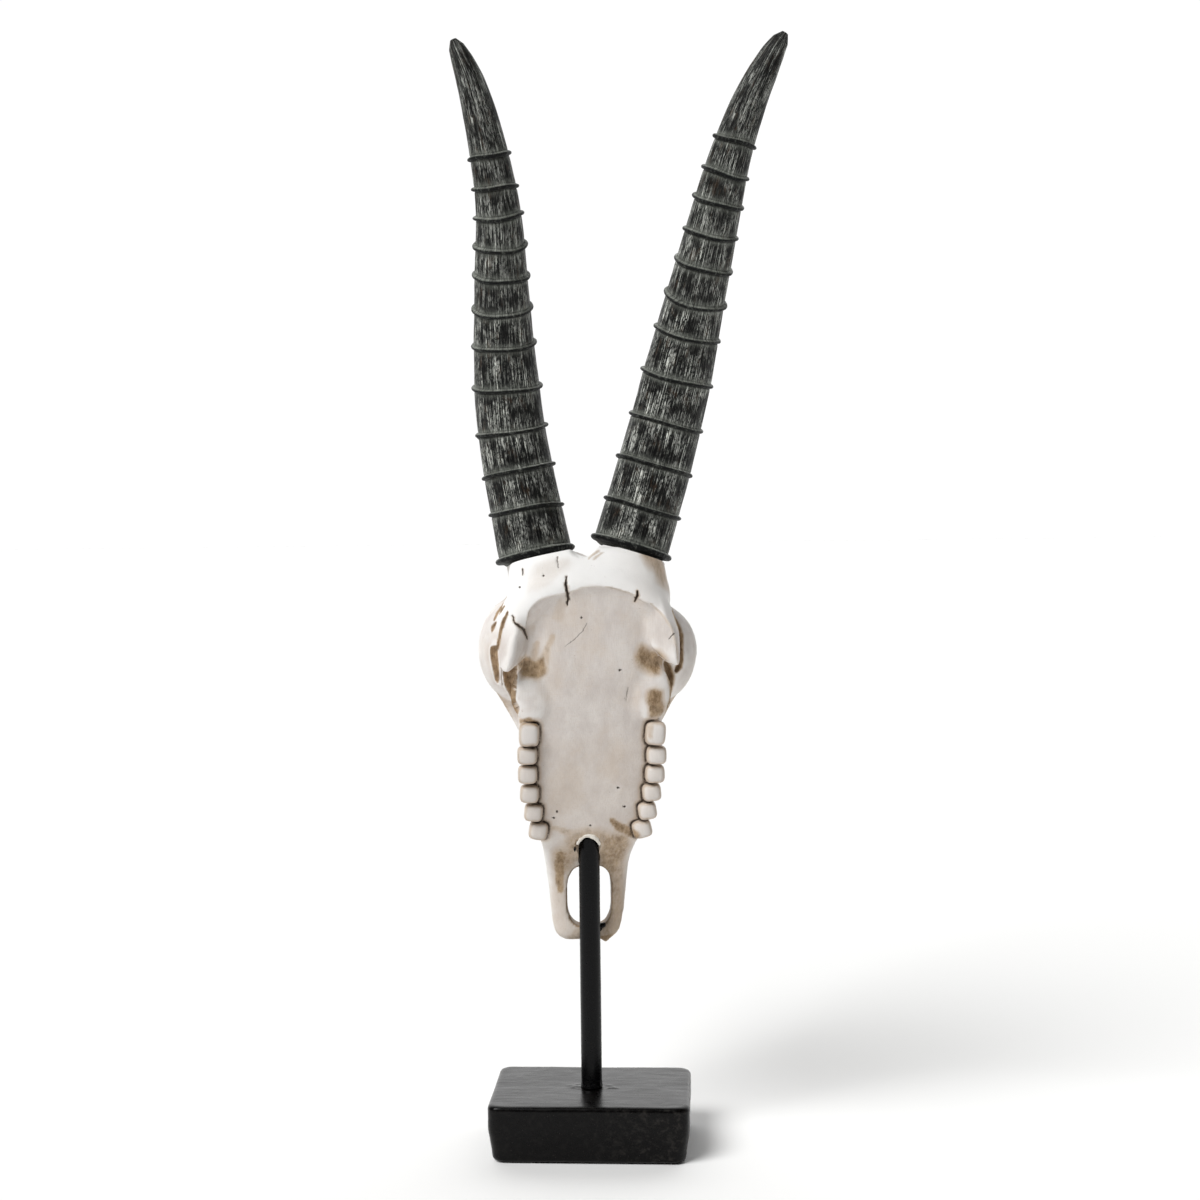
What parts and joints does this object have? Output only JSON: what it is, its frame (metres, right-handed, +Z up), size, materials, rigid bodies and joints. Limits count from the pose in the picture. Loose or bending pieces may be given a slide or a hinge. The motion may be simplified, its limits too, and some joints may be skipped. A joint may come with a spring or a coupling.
{
  "type": "carved gemsbok skull on a stand",
  "caption": "Ornamental cast antelope skull with a pair of ringed horns, held nose down on a round post that rises from a rectangular block.",
  "frame": {"origin": "middle of the block's flat underside, on the surface it stands on", "axes": "+Z up; X along the block's long side; the skull's palate and teeth look to -Y and its face to +Y, turned about six degrees"},
  "size_m": [0.1889, 0.1142, 0.6436],
  "materials": {
    "bone_resin": "matte off-white with a brown wash rubbed into the hollows",
    "horn_resin": "charcoal, dry brushed along its length with grey",
    "post_paint": "gloss black",
    "block_paint": "satin black, brushed by hand"
  },
  "bodies": {
    "root": {"base": "block_paint", "post": "post_paint", "skull": "bone_resin", "horn_left": "horn_resin", "horn_right": "horn_resin"}
  },
  "joints": []
}
